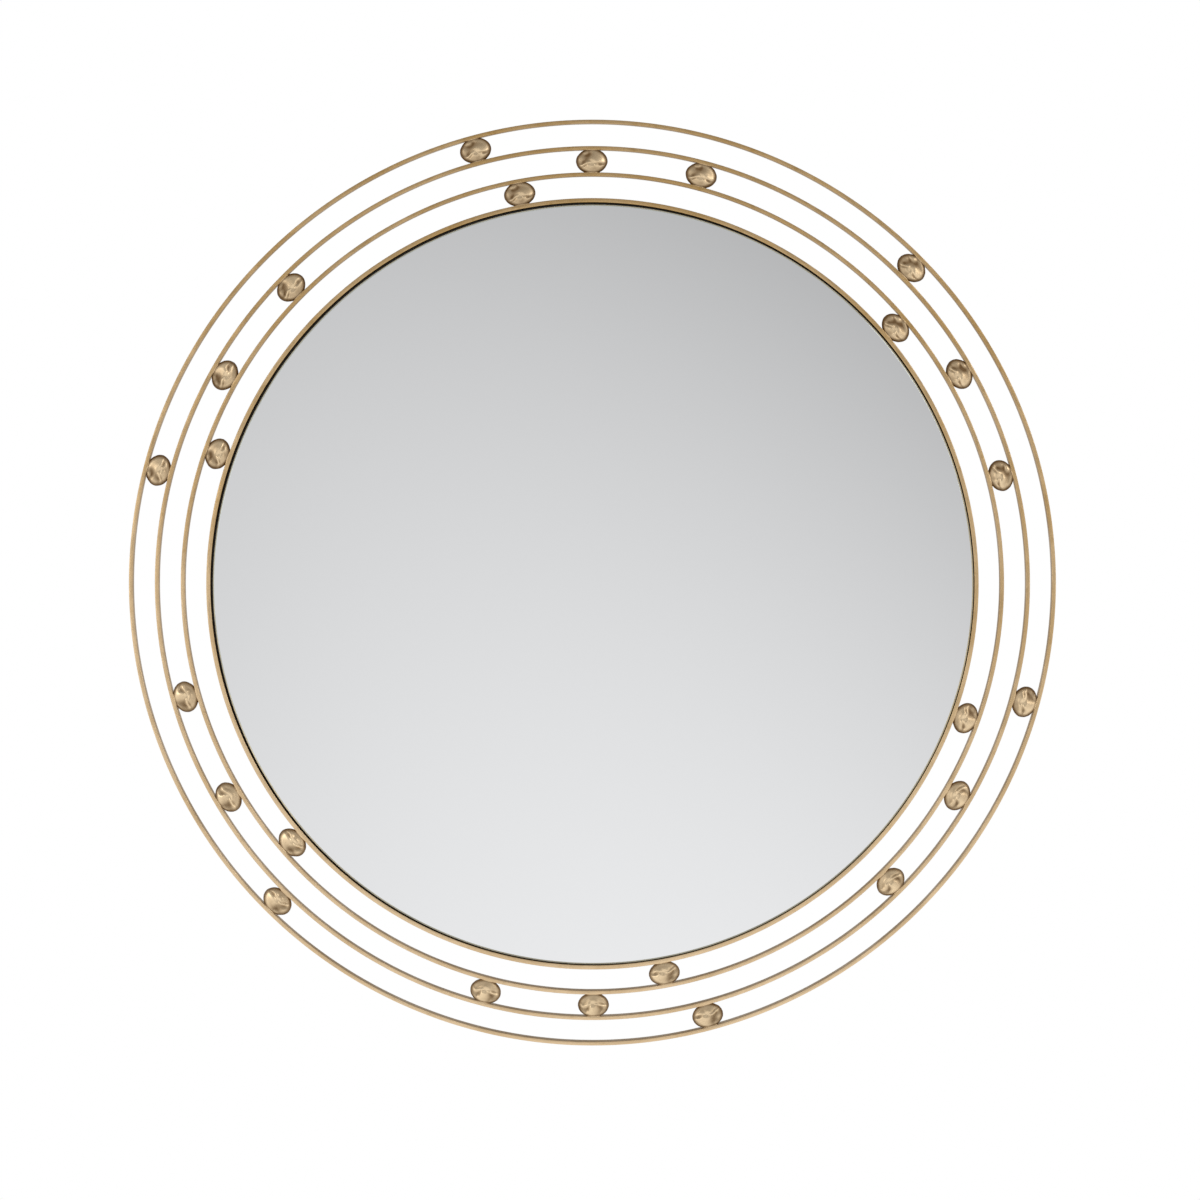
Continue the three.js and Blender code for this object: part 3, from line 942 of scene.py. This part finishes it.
class RINGMIRROR_OT_lugs(bpy.types.Operator):
    """Cuts the lugs that hold the board and welds them to the band"""

    bl_idname = "ringmirror.lugs"
    bl_label = "Lugs"

    def execute(self, context):
        sizes = getattr(context.scene, SIZES)
        seat = reach("mirror_frame_ring") - sizes.band_thickness
        half = sizes.tab_width / 2
        hole = seat - sizes.tab_length + half
        outer = seat - 0.0001
        spread = math.asin(half / outer)
        outline = arc((0, 0), outer, -spread, 2 * spread, 12)
        outline += arc((hole, 0), half, QUARTER, math.pi, 24)
        welded = 0.94  # part of a lug's end that its seam covers
        run = arc((0, 0), seat - 0.0002, -spread * welded, 2 * spread * welded, 40)
        seam_radius = 0.0008
        lump = 0.0003
        for number in range(1, FOLDS + 1):
            node = f"board_tab_{number}"
            shape = plate(outline, back_of(node), front_of(node), 0.0003)
            seam = wire([(x, -back_of(node), z) for x, z in run], seam_radius, 12)
            for vert in seam.verts:
                along = vert.co.z / half
                vert.co.y += lump * math.sin(along * 31.0 + number) * abs(math.cos(along * 9.0))
                vert.co.x += lump * math.cos(along * 27.0 + number * 2)
            part = bpy.data.meshes.new("seam")
            seam.to_mesh(part)
            seam.free()
            shape.from_mesh(part)
            bpy.data.meshes.remove(part)
            place = middle(node)
            turn = math.atan2(place.z, place.x)
            bmesh.ops.transform(shape, matrix=Matrix.Rotation(-turn, 4, "Y"), verts=shape.verts)
            name = f"welded_{node}"
            piece = add_object(name, take_mesh(shape, name), material("strip"))
            finish(piece, BODY, "aged_brass", node)
        return {"FINISHED"}


def screw_template(sizes):
    """A pan head with a cross recess and a short shank, its bearing face at Y = 0 and its shank towards -Y."""
    radius = sizes.head_radius
    height = sizes.head_height
    profile = rounded([
        (0, -height, 0),
        (radius * 0.55, -height * 0.985, radius * 1.2),
        (radius, -height * 0.48, radius * 0.22),
        (radius, 0, radius * 0.06),
        (radius * 0.48, 0, 0),
        (radius * 0.48, radius, 0),
        (0, radius, 0),
    ], 6)
    head = add_object("screw_head", take_mesh(lathe(profile, 40), "screw_head", 30.0))
    cutter = bmesh.new()
    for turn in (0.0, math.pi / 2):
        arm = bmesh.ops.create_cube(cutter, size=1.0)["verts"]
        for vert in arm:
            deep = vert.co.y < 0
            vert.co.x *= radius * (0.55 if deep else 1.16)
            vert.co.z *= radius * (0.17 if deep else 0.27)
            vert.co.y = height * (0.42 if deep else 1.1)
        bmesh.ops.rotate(cutter, verts=arm, matrix=Matrix.Rotation(turn, 3, "Y"))
    cross = add_object("screw_cross", take_mesh(cutter, "screw_cross"))
    cut = head.modifiers.new("Recess", "BOOLEAN")
    cut.operation = "DIFFERENCE"
    cut.solver = "EXACT"
    cut.use_self = True
    cut.object = cross
    mesh = plain_mesh(head)
    head.modifiers.clear()
    head.data = mesh
    mesh.set_sharp_from_angle(angle=math.radians(28))
    bpy.data.objects.remove(cross)
    return head


def screw_tree():
    """One screw, turned by its angle and set at its place."""
    nodes, given, output = geometry_tree("driven_screw", {
        "Screw": "object", "Place": "vector", "Turn": float, "Material": "material"})
    screw = nodes.add("GeometryNodeObjectInfo", {"Object": given["Screw"], "As Instance": True})
    spot = nodes.add("GeometryNodePoints", {"Count": 1, "Position": given["Place"]}).outputs[0]
    spin = nodes.add("FunctionNodeEulerToRotation", (nodes.vector(0.0, given["Turn"], 0.0),)).outputs[0]
    driven = nodes.put("GeometryNodeInstanceOnPoints", {
        "Points": spot, "Instance": screw.outputs["Geometry"], "Rotation": spin})
    return close_tree(nodes, output, driven, given["Material"], smooth=False)


class RINGMIRROR_OT_screws(bpy.types.Operator):
    """Drives the screws through the lugs and the hanger straps"""

    bl_idname = "ringmirror.screws"
    bl_label = "Screws"

    def execute(self, context):
        sizes = getattr(context.scene, SIZES)
        head = screw_template(sizes)
        tree = screw_tree()
        names = [f"tab_screw_{number}" for number in range(1, FOLDS + 1)]
        for side in ("left", "right"):
            names += [f"hanger_screw_{side}_upper", f"hanger_screw_{side}_lower"]
        for number, node in enumerate(names):
            low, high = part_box(node)
            bearing = high.y - sizes.head_height
            piece = grown(f"driven_{node}", tree, {
                "Screw": head,
                "Place": ((low.x + high.x) / 2, bearing, (low.z + high.z) / 2),
                "Turn": number * 0.83,
                "Material": material("steel"),
            })
            finish(piece, BODY, "zinc_steel", node)
        bpy.data.objects.remove(head)
        return {"FINISHED"}


def bar_distance(sizes):
    """From the wall to the middle of a D-ring's bar."""
    strap_back = back_of("board_tab_1")
    return strap_back - sizes.hinge_clearance - sizes.wire_radius


class RINGMIRROR_OT_straps(bpy.types.Operator):
    """Folds the hanger straps round their bars"""

    bl_idname = "ringmirror.straps"
    bl_label = "Hanger straps"

    def execute(self, context):
        sizes = getattr(context.scene, SIZES)
        bar = bar_distance(sizes)
        curl = sizes.wire_radius + sizes.hinge_clearance + sizes.sheet_thickness / 2
        half = sizes.strap_width / 2
        columns = 8
        for side in ("left", "right"):
            node = f"hanger_strap_{side}"
            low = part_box(node)[0]
            middle_x = middle(node).x
            rows = []
            end = low.z + half
            for i in range(13):
                turn = math.pi / 2 * i / 12
                rows.append((end - half * math.cos(turn), bar + curl, half * math.sin(turn)))
            for i in range(1, 9):
                rows.append((end + (sizes.bar_height - end) * i / 8, bar + curl, half))
            for i in range(1, 31):
                turn = math.radians(285) * i / 30
                rows.append((
                    sizes.bar_height + curl * math.sin(turn), bar + curl * math.cos(turn), half))
            shape = bmesh.new()
            grid = []
            for height, distance, wide in rows:
                grid.append([
                    shape.verts.new((middle_x + wide * (2 * j / columns - 1), -distance, height))
                    for j in range(columns + 1)])
            for one, two in zip(grid, grid[1:]):
                for j in range(columns):
                    shape.faces.new((one[j], one[j + 1], two[j + 1], two[j]))
            bmesh.ops.remove_doubles(shape, verts=shape.verts, dist=TOUCHING)
            name = f"folded_{node}"
            piece = add_object(name, take_mesh(shape, name, 60.0), material("steel"))
            sheet = piece.modifiers.new("Sheet", "SOLIDIFY")
            sheet.thickness = sizes.sheet_thickness
            sheet.offset = 0.0
            sheet.use_even_offset = True
            arris = piece.modifiers.new("Arris", "BEVEL")
            arris.width = 0.0002
            arris.segments = 2
            arris.limit_method = "ANGLE"
            arris.angle_limit = math.radians(50)
            finish(piece, BODY, "zinc_steel", node)
        return {"FINISHED"}


class RINGMIRROR_OT_hanger_rings(bpy.types.Operator):
    """Bends the D-rings from wire, each with its ends meeting inside its strap"""

    bl_idname = "ringmirror.hanger_rings"
    bl_label = "D-rings"

    def execute(self, context):
        sizes = getattr(context.scene, SIZES)
        bar = bar_distance(sizes)
        corner = sizes.loop_corner
        side_x = sizes.loop_half_width
        bowl = -corner - sizes.loop_side
        seam = 0.00025
        half_loop = [(seam + (side_x - corner - seam) * i / 3, 0.0) for i in range(4)]
        half_loop += arc((side_x - corner, -corner), corner, QUARTER, -QUARTER, 10)[1:]
        half_loop += arc((0, bowl), side_x, 0.0, -QUARTER, 24)
        whole = half_loop + [(-x, z) for x, z in reversed(half_loop[:-1])]
        for side in ("left", "right"):
            node = f"hanger_ring_{side}"
            centre = middle(node).x
            points = [(centre + x, -bar, sizes.bar_height + z) for x, z in whole]
            name = f"bent_{node}"
            mesh = take_mesh(wire(points, sizes.wire_radius, sides=24), name, 50.0)
            piece = add_object(name, mesh, material("steel"))
            finish(piece, f"{side}_ring", "zinc_steel", node)
        return {"FINISHED"}


class RINGMIRROR_OT_bumpers(bpy.types.Operator):
    """Moulds the rubber bumpers that keep the mirror off the wall"""

    bl_idname = "ringmirror.bumpers"
    bl_label = "Wall bumpers"

    def execute(self, context):
        for number in range(1, 5):
            node = f"wall_bumper_{number}"
            low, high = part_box(node)
            radius = (high.x - low.x) / 2
            front = front_of(node)
            profile = rounded([
                (0, 0.0007, 0),
                (radius * 0.30, 0.0007, 0.0008),
                (radius * 0.38, 0, 0.0006),
                (radius * 0.86, 0, 0.0012),
                (radius * 0.97, front * 0.8, 0.001),
                (radius, front * 0.88, 0.0006),
                (radius, front, 0),
                (0, front, 0),
            ], 5)
            shape = lathe(profile, 72)
            place = middle(node)
            bmesh.ops.translate(shape, verts=shape.verts, vec=(place.x, 0, place.z))
            name = f"moulded_{node}"
            piece = add_object(name, take_mesh(shape, name, 45.0), material("rubber"))
            finish(piece, BODY, "black_rubber", node)
        return {"FINISHED"}


# Studio

def add_floor(studio):
    """A pale round floor well below the mirror. It keeps the shadow and fades to white at its rim."""
    profile = [(0, 0.004), (studio.floor_radius, 0.004), (studio.floor_radius, 0), (0, 0)]
    shape = lathe(profile, 128)
    bmesh.ops.rotate(shape, verts=shape.verts, matrix=Matrix.Rotation(math.pi / 2, 3, "X"))
    bmesh.ops.translate(shape, verts=shape.verts, vec=(0, 0, studio.floor_height))
    pale = bpy.data.materials.new("pale_floor")
    nodes = emptied(pale)
    place = place_on_piece(nodes)
    x, y, z = nodes.split(place)
    distance = nodes.hypotenuse(x, y)
    grain = nodes.noise(place, 60.0, 4.0)
    tone = Vector(studio.floor_tone)
    shade = nodes.blend(grain, rgba(tone), rgba(tone * 0.97))
    matt = nodes.add("ShaderNodeBsdfDiffuse", {"Color": shade}).outputs[0]
    glossy = nodes.add("ShaderNodeLightPath").outputs["Is Glossy Ray"]
    level = nodes.minus(1.0, nodes.times(glossy, 1.0 - GLOSS_BELOW))
    white = nodes.add("ShaderNodeEmission", {"Color": (1, 1, 1, 1), "Strength": level}).outputs[0]
    fade = nodes.ease(distance, studio.floor_radius * 0.35, studio.floor_radius * 0.95)
    seen = nodes.add("ShaderNodeMixShader", {0: fade, 1: matt, 2: white}).outputs[0]
    nodes.add("ShaderNodeOutputMaterial", {"Surface": seen})
    add_object("pale_floor", take_mesh(shape, "pale_floor"), pale)


def light_world(studio):
    """White behind the object, a level light on it, and for its gloss a dim grey room in front and behind."""
    world = bpy.data.worlds.new("plain_studio")
    bpy.context.scene.world = world
    nodes = emptied(world)
    path = nodes.add("ShaderNodeLightPath").outputs
    x, y, z = nodes.split(nodes.add("ShaderNodeTexCoord").outputs["Generated"])
    low = nodes.plus(z, -0.035)
    near_x = nodes.math("MINIMUM", nodes.math("MAXIMUM", x, -0.16), 0.16)
    grey = 0.643  # straight ahead, with its changes up and down, sideways and slantwise
    changes = (
        (low, -1.976),
        (nodes.times(low, low), -2.9),
        (near_x, -0.595),
        (nodes.times(near_x, near_x), -5.59),
        (nodes.times(near_x, low), -3.47),
    )
    for term, change in changes:
        grey = nodes.plus(grey, nodes.times(term, change))
    grey = nodes.math("MINIMUM", nodes.math("MAXIMUM", grey, 0.40), 1.0)
    from_front = nodes.hypotenuse(x, nodes.plus(z, 0.05))
    in_front = nodes.times(nodes.ease(from_front, 0.55, 0.25), nodes.ease(y, 0.0, -0.2))
    behind = nodes.times(nodes.ease(y, 0.0, 0.8), 0.30)
    open_room = nodes.minus(nodes.ease(z, 0.55, -0.25, 0.50, GLOSS_BELOW), behind)
    gloss = nodes.plus(
        nodes.times(grey, in_front), nodes.times(open_room, nodes.minus(1.0, in_front)))
    level = nodes.plus(
        nodes.times(path["Is Glossy Ray"], gloss),
        nodes.times(nodes.minus(1.0, path["Is Glossy Ray"]), studio.surroundings))
    plain = nodes.math("MAXIMUM", path["Is Camera Ray"], path["Is Transmission Ray"])
    level = nodes.plus(nodes.times(level, nodes.minus(1.0, plain)), plain)
    sky = nodes.add("ShaderNodeBackground", {"Color": (1, 1, 1, 1), "Strength": level}).outputs[0]
    nodes.add("ShaderNodeOutputWorld", {"Surface": sky})


def add_lamp(name, place, size, power, tint):
    lamp = bpy.data.lights.new(name, "AREA")
    lamp.shape = "DISK"
    lamp.size = size
    lamp.energy = power
    lamp.color = tint
    holder = add_object(name, lamp)
    holder.location = place
    holder.rotation_euler = (-Vector(place)).to_track_quat("-Z", "Y").to_euler()


def add_camera(studio):
    """A long lens in front, a little above the middle."""
    lens = bpy.data.cameras.new("camera")
    lens.lens = studio.lens
    camera = add_object("camera", lens)
    front = -front_of("outer_ring")
    back_off = Vector((0, -math.cos(studio.camera_pitch), math.sin(studio.camera_pitch)))
    camera.location = Vector((0, front, 0)) + back_off * studio.camera_distance
    aim = Vector((studio.aim_right, front, -studio.aim_down))
    camera.rotation_euler = (aim - camera.location).to_track_quat("-Z", "Y").to_euler()
    bpy.context.scene.camera = camera


class RINGMIRROR_OT_studio(bpy.types.Operator):
    """Sets the floor, the lamps, the surroundings and the camera"""

    bl_idname = "ringmirror.studio"
    bl_label = "Studio"

    def execute(self, context):
        studio = getattr(context.scene, STUDIO)
        context.scene.view_settings.view_transform = "Standard"
        add_floor(studio)
        light_world(studio)
        add_lamp("left_lamp", (-2.4, -2.5, 0.5), 2.0, studio.lamp_power * 0.6, (1.0, 0.985, 0.96))
        add_lamp("right_lamp", (2.6, -2.3, 1.2), 2.0, studio.lamp_power, (1.0, 0.985, 0.96))
        add_camera(studio)
        return {"FINISHED"}


# Panel and registering

OPERATORS = (
    RINGMIRROR_OT_studio,
    RINGMIRROR_OT_rings,
    RINGMIRROR_OT_beads,
    RINGMIRROR_OT_glass,
    RINGMIRROR_OT_board,
    RINGMIRROR_OT_lugs,
    RINGMIRROR_OT_screws,
    RINGMIRROR_OT_straps,
    RINGMIRROR_OT_hanger_rings,
    RINGMIRROR_OT_bumpers,
)


class RINGMIRROR_PT_panel(bpy.types.Panel):
    """Lists the pieces of the ring mirror"""

    bl_label = "Ring Mirror"
    bl_idname = "RINGMIRROR_PT_panel"
    bl_space_type = "VIEW_3D"
    bl_region_type = "UI"
    bl_category = "Ring Mirror"

    def draw(self, context):
        for operator in OPERATORS:
            self.layout.operator(operator.bl_idname)
        for group in (SIZES, FINISHES, STUDIO):
            settings = getattr(context.scene, group)
            box = self.layout.box()
            for name in settings.__annotations__:
                box.prop(settings, name)


GROUPS = {SIZES: RingMirrorSizes, FINISHES: RingMirrorFinishes, STUDIO: RingMirrorStudio}


def register():
    for group, kind in GROUPS.items():
        bpy.utils.register_class(kind)
        setattr(bpy.types.Scene, group, PointerProperty(type=kind))
    for kind in (*OPERATORS, RINGMIRROR_PT_panel):
        bpy.utils.register_class(kind)


def unregister():
    for kind in (RINGMIRROR_PT_panel, *reversed(OPERATORS)):
        bpy.utils.unregister_class(kind)
    for group, kind in GROUPS.items():
        delattr(bpy.types.Scene, group)
        bpy.utils.unregister_class(kind)


def main():
    register()
    for operator in OPERATORS:
        family, action = operator.bl_idname.split(".")
        getattr(getattr(bpy.ops, family), action)()


if __name__ == "__main__":
    main()
